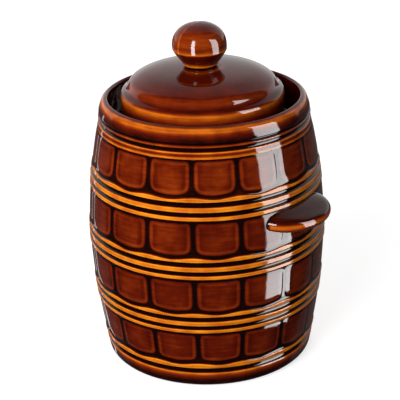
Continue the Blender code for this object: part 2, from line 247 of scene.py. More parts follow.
def relief_outline():
    """Outer outline of the barrel, from the foot to the collar's upper edge."""
    points = arc((crest(FOOT_ROUND) - FOOT_ROUND, FOOT_ROUND), FOOT_ROUND, -90, 0, 6)
    for kind, low, high in stacked():
        middle = (low + high) / 2
        if kind == "foot":
            points += [(crest(FOOT_MIDDLE), FOOT_MIDDLE)]
            points += [(crest(high - FOOT_EDGE) + FLARE, high - FOOT_EDGE)]
            points += [(crest(high) - ARRIS_DROP, high)]
        elif kind in ("ridge", "scalloped"):
            points += band(low, high)
        elif kind == "bead":
            points += [(crest(low) - BEAD_DROP, low), (crest(middle), middle)]
            points += [(crest(high) - BEAD_DROP, high)]
        elif kind == "groove":
            half = (high - low) * GROOVE_WIDTH / 2
            points += [(crest(middle) - GROOVE_DEPTH, middle - half)]
            points += [(crest(middle) - GROOVE_DEPTH, middle + half)]
        elif kind == "collar":
            points += [(crest(low) - COLLAR_TUCK, low), (crest(low) + FLARE, low + COLLAR_FOOT)]
            points += [(crest(middle) + COLLAR_SWELL, middle)]
            points += [(crest(high) + FLARE, high - COLLAR_HEAD)]
        else:
            points += panel_floor(kind, low, high)
    return points


print("points outside:", len(relief_outline()))

# %% [markdown]
# The outline goes on over the lip, down into the water channel, over the neck and down the
# inside, and it closes under the foot. A Solidify modifier would give one even wall, but the
# channel and the neck need a section of their own, so we draw it, and the barrel is one closed
# body of real thickness.

# %% The outline of the inside
LIP = [(85.0, 222.6), (84.5, 223.7), (83.0, 225.3), (80.9, 226.4), (79.5, 226.1), (78.8, 225.0)]
CHANNEL = [(78.9, 220.0), (80.4, 208.0), (82.0, 198.0), (80.6, 195.4), (78.0, 195.0)]
CHANNEL += [(70.0, 195.0), (62.4, 195.0), (60.4, 195.5), (60.0, 197.5), (60.0, 210.0)]
NECK_TOP = (57.5, 225.0)
NECK_ROUND = 2.5
MOUTH = [(55.0, 215.0), (55.0, 200.0), (55.0, 190.0), (55.8, 187.4), (58.0, 187.0), (68.0, 187.0)]
WALL = 9.0
CORNER = 6.0
UPPER_CORNER = 181.0
LOWER_CORNER = 18.0
WALL_HEIGHTS = (165.0, 140.0, 113.0, 85.0, 60.0, 38.0, 22.0)
FLOOR_TOP = 12.0
FOOT_RING = 9.0
HOLLOW = 2.5


def inner_outline():
    """Lip, water channel, neck and inside of the barrel."""
    points = LIP + CHANNEL + arc(NECK_TOP, NECK_ROUND, 0, 180, 6) + MOUTH
    upper_middle = crest(UPPER_CORNER) - WALL - CORNER
    points += arc((upper_middle, UPPER_CORNER), CORNER, 80, 0, 3)
    points += [(crest(height) - WALL, height) for height in WALL_HEIGHTS]
    lower_middle = crest(LOWER_CORNER) - WALL - CORNER
    points += arc((lower_middle, LOWER_CORNER), CORNER, -10, -90, 3)
    return points + [(55.0, FLOOR_TOP), (25.0, FLOOR_TOP), (0.0, FLOOR_TOP)]


def base_outline():
    """Hollow under the barrel and the inner side of its foot ring."""
    ring = crest(FOOT_ROUND) - FOOT_ROUND - FOOT_RING
    points = [(0.0, HOLLOW), (40.0, HOLLOW), (ring - 3.0, HOLLOW), (ring - 0.8, 1.8)]
    return points + [(ring, 0.0), (ring + 4.0, 0.0)]


print("points inside and below:", len(inner_outline()) + len(base_outline()))

# %% [markdown]
# Sixteen staves go round the barrel, and six faces to a stave are enough to bend a panel round
# it. Before anything is pressed, we find the faces under each panel, while the barrel is still
# plainly turned, because they are easy to tell by their heights then. After that each row is
# turned a little, because the rows of the real crock don't stand exactly over each other.

# %% Find the panels and turn the rows
STAVES = 16
COLUMNS = 6
SKIN = 5.0
ROW_MARGIN = 0.5
ROW_TURNS = {"panels": math.radians(-0.6), "bottom panels": 0.0, "top panels": math.radians(-0.95)}


def on_skin(place, low, high):
    """Whether a place lies on the barrel's outer skin between two heights."""
    height = place.z / MM
    return low < height < high and math.hypot(place.x, place.y) / MM > crest(height) - SKIN


def panel_floors(bm):
    """Faces under each panel of every row."""
    found = {}
    for face in bm.faces:
        middle = face.calc_center_median()
        for kind, low, high in stacked():
            if kind in FLANKS and on_skin(middle, low + FLANKS[kind][0], high - FLANKS[kind][1]):
                stave = round(math.atan2(middle.y, middle.x) / math.tau * STAVES) % STAVES
                found.setdefault((low, stave), []).append(face)
    return list(found.values())


def turn_rows(bm):
    """Turn each row of panels by its own small angle."""
    for kind, low, high in stacked():
        if kind in FLANKS:
            row = [vert for vert in bm.verts
                   if on_skin(vert.co, low + ROW_MARGIN, high - ROW_MARGIN)]
            bmesh.ops.rotate(bm, verts=row, cent=(0, 0, 0),
                             matrix=Matrix.Rotation(ROW_TURNS[kind], 3, "Z"))


barrel_outline = base_outline() + relief_outline() + inner_outline()
barrel_bm = spun(barrel_outline, STAVES * COLUMNS, math.pi / STAVES)
floors = panel_floors(barrel_bm)
turn_rows(barrel_bm)
print("panels found:", len(floors))

# %% [markdown]
# Where a hoop meets the staves, its edge waves: it rises at each joint between two staves and
# hangs lower on the middle of each stave. We slide the points there up and down by a cosine that
# has one wave to a stave. A point that slides keeps its depth under the barrel's curve, so the
# wave doesn't dent the wall. The wave fades out towards the upper end of the panels.

# %% Scallop the hoops
SCALLOP = 0.95
SCALLOP_START = 1.5
SCALLOP_END = 2.0


def slide(vert, lift):
    """Move a point up or down along the barrel's curve, so that its depth stays the same."""
    radius = math.hypot(vert.co.x, vert.co.y)
    height = vert.co.z / MM
    grown = 1.0 + (crest(height + lift) - crest(height)) * MM / radius
    vert.co = Vector((vert.co.x * grown, vert.co.y * grown, vert.co.z + lift * MM))


def scallop_ridges(bm):
    """Lift the edge between a hoop and its panels at the stave joints, and lower it between."""
    for kind, low, high in stacked():
        if kind not in FLANKS:
            continue
        end = high - SCALLOP_END
        reach = end - low - FLANKS[kind][0]
        for vert in bm.verts:
            if on_skin(vert.co, low - SCALLOP_START, end):
                fade = min(1.0, (end - vert.co.z / MM) / reach)
                turn = math.atan2(vert.co.y, vert.co.x) - ROW_TURNS[kind]
                slide(vert, -SCALLOP * fade * math.cos(STAVES * turn))


scallop_ridges(barrel_bm)
print("points in the turned barrel:", len(barrel_bm.verts))

# %% [markdown]
# The panels stand out of the wall like the worn planks of a cask. They could be boxes set on the
# barrel, but insets keep one skin that follows the bulge. Each inset has a thickness and a
# height. The first only leaves the groove between two panels, the next two raise the panel's
# flank, and the last two crown its face. After the first, the panel is stretched up to the hoop
# above it, and its lower corners are drawn in, so that Subdivision Surface rounds them.

# %% Raise the panels
PANEL_INSETS = ((0.6, 0.0), (0.8, 0.11), (0.9, 0.13), (1.7, 0.07), (1.8, 0.06))
PANEL_LIFT = 0.9
CORNER_LIFT = 0.8
CORNER_PULL = 0.64


def shape_panel(region):
    """Stretch a panel up to the hoop above it and draw in its two lower corners."""
    faces = set(region)
    verts = {vert for face in region for vert in face.verts}
    middle = sum((vert.co for vert in verts), Vector()) / len(verts)
    low = min(vert.co.z for vert in verts)
    high = max(vert.co.z for vert in verts)
    for vert in verts:
        inward = middle - vert.co
        is_corner = sum(face in faces for face in vert.link_faces) == 1
        if is_corner and inward.z > 0:
            sideways = Vector((inward.x, inward.y, 0.0)).normalized()
            vert.co += sideways * CORNER_PULL * MM
            slide(vert, CORNER_LIFT)
        slide(vert, PANEL_LIFT * (vert.co.z - low) / (high - low))


def raise_panels(bm, floors):
    """Raise a crowned panel on every stave of every row."""
    for region in floors:
        for step, (thickness, depth) in enumerate(PANEL_INSETS):
            bmesh.ops.inset_region(bm, faces=region, thickness=thickness * MM, depth=depth * MM,
                                   use_even_offset=True)
            if step == 0:
                shape_panel(region)


raise_panels(barrel_bm, floors)
barrel = subdivided(to_object(barrel_bm, "glazed_barrel"))
print("barrel faces:", len(barrel.data.polygons))

# %% [markdown]
# The lid is spun too. Its skirt stands in the water channel, its edge is rolled, a shallow
# hollow runs round behind the roll, and the crown is nearly flat on top and steep at its rim. A
# part of a ball would be too round for it, so the crown follows one formula: the square of the
# radius gives the gentle top, and a high power of it gives the steep rim. The lid lies a little
# off the middle of its channel, as a loose lid does.

# %% The lid
LID_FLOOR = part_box("lid")[0].z / MM
LID_RADIUS = 67.15
LID_INSIDE = 62.3
LID_SHIFT = 0.9
LID_AWAY = (-0.77, -0.64)
LID_STEPS = 96
CROWN_RADIUS = 61.7
CROWN_HEIGHT = 13.6
CROWN_FOOT = LID_FLOOR + 41.6
CROWN_TERMS = ((0.4, 2.0), (0.6, 6.5))
CROWN_THICKNESS = 5.6

SKIRT_FOOT = [(65.4, 0.0), (66.7, 0.3), (LID_RADIUS, 1.2)]
SKIRT_HEIGHTS = (6.0, 16.0, 26.0, 31.0, 33.0)
ROLLED_EDGE = [(66.8, 34.6), (66.0, 35.9), (64.7, 36.8), (63.2, 37.8), (61.9, 39.3)]
ROLLED_EDGE += [(61.0, 40.9), (60.1, 42.5)]
CROWN_RADII = (58.8, 57.3, 55.5, 52.0, 47.0, 41.0, 32.0, 22.0, 12.0, 5.0, 0.0)
UNDER_CROWN_RADII = (0.0, 12.0, 25.0, 38.0, 47.0, 53.0)
INSIDE_EDGE = [(57.5, 41.0), (60.8, 37.0), (LID_INSIDE, 32.0)]
INSIDE_HEIGHTS = (22.0, 10.0, 1.2)
INSIDE_FOOT = [(62.8, 0.3), (64.0, 0.0), (65.4, 0.0)]


def crown(radius):
    """Height of the lid's crown at a radius."""
    share = radius / CROWN_RADIUS
    fall = sum(part * share ** power for part, power in CROWN_TERMS)
    return CROWN_FOOT + CROWN_HEIGHT * (1 - fall)


def lid_outline():
    """Closed section of the lid."""
    outside = SKIRT_FOOT + [(LID_RADIUS, lift) for lift in SKIRT_HEIGHTS] + ROLLED_EDGE
    inside = INSIDE_EDGE + [(LID_INSIDE, lift) for lift in INSIDE_HEIGHTS] + INSIDE_FOOT
    points = [(r, LID_FLOOR + lift) for r, lift in outside]
    points += [(r, crown(r)) for r in CROWN_RADII]
    points += [(r, crown(r) - CROWN_THICKNESS) for r in UNDER_CROWN_RADII]
    return points + [(r, LID_FLOOR + lift) for r, lift in inside]


lid_bm = spun(lid_outline(), LID_STEPS)
bmesh.ops.translate(lid_bm, verts=lid_bm.verts,
                    vec=[part * LID_SHIFT * MM for part in (*LID_AWAY, 0.0)])
lid = subdivided(to_object(lid_bm, "glazed_lid"))
print("lid faces:", len(lid.data.polygons))

# %% [markdown]
# The ball knob stands on a cone with an undercut foot. A sphere set on a cone would show a step
# where the two meet, so one outline runs over foot, cone and ball. The ball has fuller shoulders
# than a true ball: we get them by raising the cosine and the sine of its curve to a power under
# one, which pushes the curve out towards the corner of its box.

# %% The outline of the knob
KNOB_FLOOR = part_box("lid_knob")[0].z / MM
KNOB_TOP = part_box("lid_knob")[1].z / MM
KNOB_RADIUS = 22.5
KNOB_FULLNESS = 2.2
KNOB_MIDDLE = KNOB_FLOOR + 17.3
BALL_TOP = KNOB_TOP - 0.5
BALL_STEP = 9
KNOB_FOOT = [(0.0, 0.0), (8.0, 0.0), (13.4, 0.0), (13.5, 0.4), (13.4, 0.8), (14.1, 1.0)]
KNOB_FOOT += [(14.6, 1.5), (14.6, 2.4)]
KNOB_CONE = [(15.2, 3.3), (16.9, 5.3), (18.6, 7.8), (20.2, 10.0), (21.3, 11.8), (21.9, 12.9)]
KNOB_CONE += [(22.25, 13.6), (22.35, 14.4)]


def knob_outline():
    """Section of the knob: undercut foot, cone, soft edge, and a ball with full shoulders."""
    points = [(r, KNOB_FLOOR + lift) for r, lift in KNOB_FOOT + KNOB_CONE]
    rise = BALL_TOP - KNOB_MIDDLE
    power = 2 / KNOB_FULLNESS
    for angle in range(0, 90, BALL_STEP):
        turn = math.radians(angle)
        points.append((KNOB_RADIUS * math.cos(turn) ** power,
                       KNOB_MIDDLE + rise * math.sin(turn) ** power))
    return points + [(0.0, BALL_TOP)]


print("points in the knob's outline:", len(knob_outline()))

# %% [markdown]
# The knob was cast in a two-part mould. The mould leaves a fine raised seam from the foot over
# the top and down the other side, and the glaze is thin over it. A bump would hardly show at the
# outline, so we spin the knob with a meridian on the seam, bevel that meridian into a narrow
# strip, and lift the strip's middle. The knob was luted on by hand: it stands almost two
# millimetres off the lid's centre, and its ball leans the same way.

# %% The knob and its mould seam
KNOB_STEPS = 48
KNOB_SHIFT = 1.8
KNOB_LEAN = 0.7
KNOB_TURN = math.radians(40)
LEAN_REACH = 0.45
SEAM_TURN = 10.6
SEAM_WIDTH = 0.9
SEAM_LIFT = 0.28
SEAM_START = 1.5
ON_SEAM = 1e-5


def add_seam(bm):
    """Raise the mould seam along the meridian in the Y-Z plane."""
    on_seam = [edge for edge in bm.edges
               if all(abs(vert.co.x) < ON_SEAM for vert in edge.verts)
               and edge.verts[0].co.z > (KNOB_FLOOR + SEAM_START) * MM]
    made = bmesh.ops.bevel(bm, geom=on_seam, offset=SEAM_WIDTH * MM, offset_type="OFFSET",
                           segments=2, profile=0.5, affect="EDGES", material=-1)
    for vert in {vert for face in made["faces"] for vert in face.verts}:
        if abs(vert.co.x) < ON_SEAM:
            vert.co += vert.normal * SEAM_LIFT * MM


def set_off_centre(bm, turn):
    """Move the knob off the lid's centre and lean its ball, as the hand that luted it left it."""
    reach = (KNOB_TOP - KNOB_FLOOR) * LEAN_REACH
    for vert in bm.verts:
        share = (vert.co.z / MM - KNOB_FLOOR) / reach
        push = (KNOB_SHIFT + KNOB_LEAN * min(1.0, share) ** 2) * MM
        vert.co.x -= push * math.cos(turn)
        vert.co.y -= push * math.sin(turn)


knob_bm = spun(knob_outline(), KNOB_STEPS, math.pi / 2)
add_seam(knob_bm)
bmesh.ops.rotate(knob_bm, verts=knob_bm.verts, cent=(0, 0, 0),
                 matrix=Matrix.Rotation(-math.radians(SEAM_TURN), 3, "Z"))
set_off_centre(knob_bm, KNOB_TURN)
knob = subdivided(to_object(knob_bm, "glazed_knob"))
print("knob faces:", len(knob.data.polygons))

# %% [markdown]
# Each handle is half of a thick oval plate with a round nose, a ledge for three or four
# fingertips. An extruded oval with a bevelled edge would do for it, but a spun section gives the
# round nose and the finger hollow at once. We squeeze the spun plate into an oval and move it
# against the barrel. Its ends thin out, and its top rises towards the barrel, where the clay was
# smoothed on.

# %% The shape of a handle
HANDLE_HALF = 37.4
HANDLE_REACH = 29.6
HANDLE_AXIS = 89.0
HANDLE_HEIGHT = 142.7
HALF_THICKNESS = 5.0
TOP_RADII = (0.0, 5.0, 9.0, 13.0, 17.0, 20.0, 23.0, 26.0)
NOSE_MIDDLE = (31.2, -0.2)
NOSE_ROUND = 5.2
FINGER_HOLLOW = [(28.0, -4.9), (20.0, -4.0), (11.0, -4.6), (0.0, -5.9)]
ROOT_RADIUS = 98.0
ROOT_RISE = 5.8
ROOT_REACH = 15.0
ROOT_POWER = 4
END_TAPER = 0.35
TAPER_POWER = 6


def handle_outline():
    """Section of a handle: flat top, round nose, finger hollow underneath."""
    points = [(r, HALF_THICKNESS) for r in TOP_RADII] + [(29.0, 5.1)]
    return points + arc(NOSE_MIDDLE, NOSE_ROUND, 90, -92, 10) + FINGER_HOLLOW


def raise_root(bm):
    """Raise the upper side of a handle towards the barrel, and thin its two ends."""
    for vert in bm.verts:
        end_share = abs(vert.co.y / MM / HANDLE_HALF)
        out = math.hypot(vert.co.x, vert.co.y) / MM - ROOT_RADIUS
        upper = min(1.0, max(0.0, (vert.co.z / MM - HANDLE_HEIGHT) / HALF_THICKNESS))
        near = min(1.0, max(0.0, 1.0 - out / ROOT_REACH))
        rise = ROOT_RISE * upper * near * max(0.0, 1.0 - end_share ** ROOT_POWER)
        thinner = 1.0 - END_TAPER * end_share ** TAPER_POWER
        above = (vert.co.z / MM - HANDLE_HEIGHT) * thinner
        vert.co.z = (HANDLE_HEIGHT + above + rise) * MM


print("points in a handle's outline:", len(handle_outline()))

# %% [markdown]
# Luted clay sits in the barrel's wall with no seam to be seen. So we cut the back of each handle
# off with a cylinder that is a little smaller than the barrel: what is left ends just inside the
# wall. Bisecting with a plane would leave a gap or a lump, because the wall is round. The
# cutter is taken away afterwards.

# %% The two handles
HANDLE_STEPS = 96
BURY_RADIUS = 95.0
BURY_STEPS = 192
BURY_LENGTH = 0.1


def bury_cutter():
    """Cylinder just inside the barrel's skin."""
    bm = bmesh.new()
    bmesh.ops.create_cone(bm, cap_ends=True, segments=BURY_STEPS, radius1=BURY_RADIUS * MM,
                          radius2=BURY_RADIUS * MM, depth=BURY_LENGTH)
    bmesh.ops.translate(bm, verts=bm.verts, vec=(0.0, 0.0, HANDLE_HEIGHT * MM))
    return to_object(bm, "bury_cutter")


def handle(name, side, cutter):
    """One handle, on the +X side for 1 and on the -X side for -1."""
    bm = spun(handle_outline(), HANDLE_STEPS)
    bmesh.ops.scale(bm, vec=(HANDLE_REACH / HANDLE_HALF * side, side, 1.0), verts=bm.verts)
    bmesh.ops.translate(bm, vec=(HANDLE_AXIS * MM * side, 0.0, HANDLE_HEIGHT * MM),
                        verts=bm.verts)
    raise_root(bm)
    made = to_object(bm, name)
    buried = made.modifiers.new("bury", "BOOLEAN")
    buried.operation = "DIFFERENCE"
    buried.solver = "EXACT"
    buried.object = cutter
    return baked_shape(made)


cutter = bury_cutter()
handles = [handle("glazed_handle_right", 1, cutter), handle("glazed_handle_left", -1, cutter)]
bpy.data.objects.remove(cutter)
print("handle faces:", [len(made.data.polygons) for made in handles])

# %% [markdown]
# Glaze is a liquid while it melts: it runs off edges and pools in hollows. So its tone can be
# read from the shape. It could be painted by hand or baked to an image, but a number on each
# point of the mesh needs neither: 0 is the thinnest amber film and 1 a black pool. To each tone
# we add the fine light lines on edges. The surface flattens itself for a short spell, as heat
# spreads, and a point that sinks in along its normal lies on an edge.

# %% Find the edges where glaze is thin
FILM_SPREAD = 0.10
SHORTEST_EDGE = 0.35
SAFE_STEP = 0.9


def places_of(mesh):
    """Places of the vertices in millimetres."""
    place = np.zeros(len(mesh.vertices) * 3)
    mesh.vertices.foreach_get("co", place)
    return place.reshape(-1, 3) / MM


def edge_film(mesh, place):
    """How far each point rises along its normal while the surface flattens, in millimetres."""
    ends = np.zeros(len(mesh.edges) * 2, dtype=np.int64)
    mesh.edges.foreach_get("vertices", ends)
    first, second = ends.reshape(-1, 2).T
    count = len(place)
    length = np.linalg.norm(place[first] - place[second], axis=1)
    weight = 1.0 / np.maximum(length, SHORTEST_EDGE) ** 2
    total = np.bincount(first, weight, count) + np.bincount(second, weight, count)
    step = SAFE_STEP / total.max()
    moved = place.copy()
    for _ in range(max(1, round(FILM_SPREAD / step))):
        pull = (moved[second] - moved[first]) * weight[:, None]
        for axis in range(3):
            gain = np.bincount(first, pull[:, axis], count)
            gain -= np.bincount(second, pull[:, axis], count)
            moved[:, axis] += step * gain
    normals = np.zeros(count * 3)
    mesh.vertices.foreach_get("normal", normals)
    return ((moved - place) * normals.reshape(-1, 3)).sum(1)


def stepped(value, pairs):
    """Straight lines between pairs of value and tone."""
    starts, tones = zip(*pairs)
    return np.interp(value, starts, tones)


def add_tone(made, tone_at, edge_gain):
    """Store a piece's tone on its vertices."""
    place = places_of(made.data)
    tone = tone_at(place) + edge_gain * edge_film(made.data, place)
    layer = made.data.attributes.new("tone", "FLOAT", "POINT")
    layer.data.foreach_set("value", tone.astype(np.float32))
    print(made.name, "tone from", round(float(tone.min()), 2), "to", round(float(tone.max()), 2))


# %% [markdown]
# On the barrel's hoops and panels the tone follows the depth under the crests: light on the
# crests, brown on the panels, black in the grooves. Each panel is a little lighter at its foot
# and darker at its head, and the top row is lighter all over. Each table below is a list of
# pairs, a place and its tone.

# %% The tone of the hoops and panels
EDGE_GAIN = 0.8
DEPTH_TONES = ((0.0, 0.13), (0.3, 0.19), (0.55, 0.50), (0.68, 0.77), (0.78, 0.75), (0.84, 0.64),
               (0.91, 0.51), (0.98, 0.60), (1.05, 0.86), (1.12, 1.0))
PANEL_TONES = ((0.05, -0.04), (0.3, 0.0), (0.75, 0.0), (0.97, 0.12))
OFF_PANEL = 0.5
ON_PANEL_DEPTH = 0.5
TOP_PANELS_LIGHTER = 0.07
TOP_RIDGE_END = 208.0
TOP_RIDGE_MIDDLE = 204.95
TOP_RIDGE_TONES = ((0.3, 0.66), (1.2, 0.40), (1.7, 0.22))


def relief_tone(height, depth, on_top_ridge):
    """Tone by depth under the crests, with each panel lighter at its foot."""
    tone = stepped(depth, DEPTH_TONES)
    for kind, low, high in stacked():
        if kind in FLANKS:
            in_row = (height > low) & (height < high)
            share = np.where(in_row, (height - low) / (high - low), OFF_PANEL)
            tone += stepped(share, PANEL_TONES)
            if kind == "top panels":
                lighter = (share != OFF_PANEL) & (depth > ON_PANEL_DEPTH)
                tone -= np.where(lighter, TOP_PANELS_LIGHTER, 0.0)
    from_middle = np.abs(height - TOP_RIDGE_MIDDLE)
    on_band = on_top_ridge & (depth < ON_PANEL_DEPTH)
    return np.where(on_band, stepped(from_middle, TOP_RIDGE_TONES), tone)


# %% [markdown]
# The foot, the bead, the collar and the lip are plainly turned, so there the tone follows the
# height alone, and on the lip the radius. A dark band lies round each handle's joint with the
# barrel. It is partly pooled glaze and partly painted shade where the handle shades the barrel.
# The inside is a plain brown.

# %% The tone of the whole barrel
FOOT_END = 14.7
FOOT_TONES = ((6.5, 0.92), (8.5, 0.70), (10.5, 0.54), (12.3, 0.40), (14.0, 0.16), (14.7, 0.3))
BEAD_START = 210.0
BEAD_MIDDLE = 211.75
BEAD_TONES = ((0.4, 0.46), (1.1, 0.85), (1.6, 1.0))
COLLAR_START = 214.3
COLLAR_TONES = ((214.4, 0.97), (216.0, 0.88), (218.3, 0.72), (219.8, 0.62), (221.3, 0.42),
                (222.4, 0.26))
LIP_START = 223.0
LIP_INSIDE = 79.0
LIP_TONES = ((79.0, 0.80), (82.0, 0.68), (82.9, 0.34), (83.5, 0.20), (84.3, 0.30), (85.0, 0.30))
# Band round each handle's joint: pooled glaze, and painted shade where the handle shades the
# barrel.
POOL_AND_SHADE_MARGIN = 1.5
POOL_AND_SHADE_RAISED = 1.0
POOL_AND_SHADE_HALF_HEIGHT = 8.5
POOL_AND_SHADE_TONES = ((0.95, 1.0), (1.12, 0.0))
INSIDE_TONE = 0.80


def barrel_tone(place):
    """Tone of the barrel: by depth under the crests outside, and plain brown inside."""
    radius = np.hypot(place[:, 0], place[:, 1])
    height = place[:, 2]
    crests = np.array([crest(level) for level in height])
    on_top_ridge = (height > TOP_RIDGE) & (height < TOP_RIDGE_END)
    depth = crests - radius - np.where(on_top_ridge, TOP_SET_BACK, 0.0)
    tone = relief_tone(height, depth, on_top_ridge)
    tone = np.where(height < FOOT_END, stepped(height, FOOT_TONES), tone)
    bead = stepped(np.abs(height - BEAD_MIDDLE), BEAD_TONES)
    tone = np.where(height > BEAD_START, bead, tone)
    tone = np.where(height > COLLAR_START, stepped(height, COLLAR_TONES), tone)
    on_lip = (height > LIP_START) & (radius > LIP_INSIDE)
    tone = np.where(on_lip, stepped(radius, LIP_TONES), tone)
    # Darken round each handle's joint: partly pooled glaze, partly painted shade from the handle.
    around = np.hypot(place[:, 1] / (HANDLE_HALF + POOL_AND_SHADE_MARGIN),
                      (height - HANDLE_HEIGHT - POOL_AND_SHADE_RAISED) / POOL_AND_SHADE_HALF_HEIGHT)
    tone = np.maximum(tone, stepped(around, POOL_AND_SHADE_TONES))
    inside = (depth > SKIN) & ((height < LIP_START) | (radius < LIP_INSIDE))
    return np.where(inside, INSIDE_TONE, tone)


add_tone(barrel, barrel_tone, EDGE_GAIN)

# %% [markdown]
# On the lid the glaze pools round the knob and stays brown on the crown. It runs thin over the
# steep rim and over the rolled edge. Down the skirt the tone darkens again, partly as thicker
# glaze and partly as painted shade where the skirt sinks into the water channel.

# %% The tone of the lid
KNOB_PLACE = (-KNOB_SHIFT * math.cos(KNOB_TURN), -KNOB_SHIFT * math.sin(KNOB_TURN))
CROWN_EDGE = 64.4
KNOB_POOL_TONES = ((15.3, 0.97), (16.3, 0.66), (17.6, 0.42), (19.0, 0.55), (22.0, 0.72))
CROWN_TONES = ((45.0, 0.0), (52.0, -0.05), (57.0, -0.06), (60.3, -0.22), (61.8, -0.16),
               (63.2, 0.02), (64.4, 0.08))
ROLL_TONES = ((64.4, 0.76), (65.6, 0.72), (66.4, 0.50), (66.95, 0.26))
SKIRT_RADIUS = 66.9
SKIRT_TOP = 34.2
# Skirt tones by height: thicker glaze, and painted shade inside the water channel.
SKIRT_GLAZE_AND_SHADE_TONES = ((22.0, 0.80), (26.0, 0.68), (28.0, 0.54), (30.5, 0.38), (33.0, 0.26), (34.0, 0.22))


def lid_tone(place):
    """Tone of the lid: pool round the knob, brown crown, light rim, light edge, brown skirt
    darkened low down by painted shade.
    """
    radius = np.hypot(place[:, 0] - LID_AWAY[0] * LID_SHIFT, place[:, 1] - LID_AWAY[1] * LID_SHIFT)
    from_knob = np.hypot(place[:, 0] - KNOB_PLACE[0], place[:, 1] - KNOB_PLACE[1])
    height = place[:, 2] - LID_FLOOR
    crown_part = stepped(from_knob, KNOB_POOL_TONES) + stepped(radius, CROWN_TONES)
    tone = np.where(radius < CROWN_EDGE, crown_part, stepped(radius, ROLL_TONES))
    # Lower on the skirt the tone darkens: thicker glaze, plus painted shade in the channel.
    on_skirt = (radius > SKIRT_RADIUS) & (height < SKIRT_TOP)
    return np.where(on_skirt, stepped(height, SKIRT_GLAZE_AND_SHADE_TONES), tone)


add_tone(lid, lid_tone, EDGE_GAIN)

# %% [markdown]
# The knob's tone follows its height: black in the undercut, light on the foot ring, brown on the
# cone, a light soft edge and a brown ball. The mould seam is a fine lighter line over it, so the
# tone drops close to the seam's plane.

# %% The tone of the knob
KNOB_TONES = ((0.8, 1.0), (1.0, 0.60), (1.3, 0.20), (2.8, 0.20), (3.8, 0.44), (5.0, 0.66),
              (7.5, 0.76), (12.4, 0.72), (13.2, 0.46), (14.0, 0.22), (15.0, 0.24), (16.2, 0.46),
              (17.5, 0.54), (21.0, 0.44), (26.0, 0.46), (30.0, 0.54), (34.0, 0.66), (36.0, 0.66))
SEAM_FADE = ((1.0, 0.0), (4.0, 1.0))
SEAM_TONES = ((0.4, 0.16), (1.1, 0.0))


def knob_tone(place):
    """Tone of the knob: dark undercut and cone, light foot ring, brown ball."""
    height = place[:, 2] - KNOB_FLOOR
    along = np.radians(-90.0 - SEAM_TURN)
    off_seam = np.abs((place[:, 0] - KNOB_PLACE[0]) * np.sin(along)
                      - (place[:, 1] - KNOB_PLACE[1]) * np.cos(along))
    seam = stepped(height, SEAM_FADE) * stepped(off_seam, SEAM_TONES)
    return stepped(height, KNOB_TONES) - seam


add_tone(knob, knob_tone, EDGE_GAIN)

# %% [markdown]
# A handle is dark on its flat top, where glaze lies thick, light round its nose, and black where
# it meets the barrel. Round the nose the tone follows the height, and elsewhere it hardly
# changes, so two tables are blended by how far a point lies from the middle of the oval.

# %% The tone of the handles
HANDLE_EDGE_GAIN = 0.5
NOSE_TONES = ((-5.4, 0.95), (-3.6, 0.70), (-1.9, 0.42), (-0.4, 0.25), (1.2, 0.27), (2.4, 0.52),
              (3.2, 0.78), (4.0, 0.88), (5.0, 0.84))
FLAT_TONES = ((-4.0, 0.98), (4.0, 0.84))
NOSE_FADE = ((0.86, 0.0), (0.93, 1.0))
ROOT_TONES = ((98.0, 1.0), (99.5, 0.7), (100.5, 0.0))


def handle_tone(place):
    """Tone of a handle: dark on top and where it meets the barrel, light round its nose."""
    radius = np.hypot(place[:, 0], place[:, 1])
    height = place[:, 2] - HANDLE_HEIGHT
    across = (np.abs(place[:, 0]) - HANDLE_AXIS) / HANDLE_REACH
    share = np.hypot(across, place[:, 1] / HANDLE_HALF)
    flat = stepped(height, FLAT_TONES)
    tone = flat + stepped(share, NOSE_FADE) * (stepped(height, NOSE_TONES) - flat)
    return np.maximum(tone, stepped(radius, ROOT_TONES))


for made in handles:
    add_tone(made, handle_tone, HANDLE_EDGE_GAIN)

# %% [markdown]
# A material is a small machine of nodes. Adding a node, setting its inputs and joining it takes
# three lines each time, so we wrap these in a helper with short calls. The noise helper reads
# Object coordinates, so that a pattern stays on the piece when the piece moves.

# %% Helpers for node trees
EVEN = (1.0, 1.0, 1.0)


class Tree:
    """The nodes of a material or a world, with short calls to add and to join them."""

    def __init__(self, owner):
        self.owner = owner
        owner.use_nodes = True
        self.nodes = owner.node_tree.nodes
        self.links = owner.node_tree.links
        self.shader = self.nodes.get("Principled BSDF") or self.nodes.get("Background")

    def add(self, kind, **settings):
        """Add a node and set its properties or its inputs' values by name."""
        node = self.nodes.new(kind)
        for name, value in settings.items():
            if hasattr(node, name):
                setattr(node, name, value)
            else:
                node.inputs[name].default_value = value
        return node

    def join(self, source, target):
        """Join an output socket to an input socket."""
        self.links.new(source, target)

    def math(self, operation, *values):
        """A Math node whose inputs are sockets or numbers."""
        node = self.nodes.new("ShaderNodeMath")
        node.operation = operation
        for slot, value in enumerate(values):
            if isinstance(value, (int, float)):
                node.inputs[slot].default_value = value
            else:
                self.join(value, node.inputs[slot])
        return node.outputs[0]

    def ramp(self, value, stops):
        """A Color Ramp over a value, from pairs of position and colour."""
        node = self.add("ShaderNodeValToRGB")
        elements = node.color_ramp.elements
        for number, (position, colour) in enumerate(stops):
            stop = elements[number] if number < 2 else elements.new(position)
            stop.position = position
            stop.color = (*colour, 1.0)
        self.join(value, node.inputs["Fac"])
        return node.outputs["Color"]

    def bump(self, height, strength, distance):
        """Small relief in the shading, from a pattern."""
        node = self.add("ShaderNodeBump", Strength=strength, Distance=distance)
        self.join(height, node.inputs["Height"])
        self.join(node.outputs["Normal"], self.shader.inputs["Normal"])


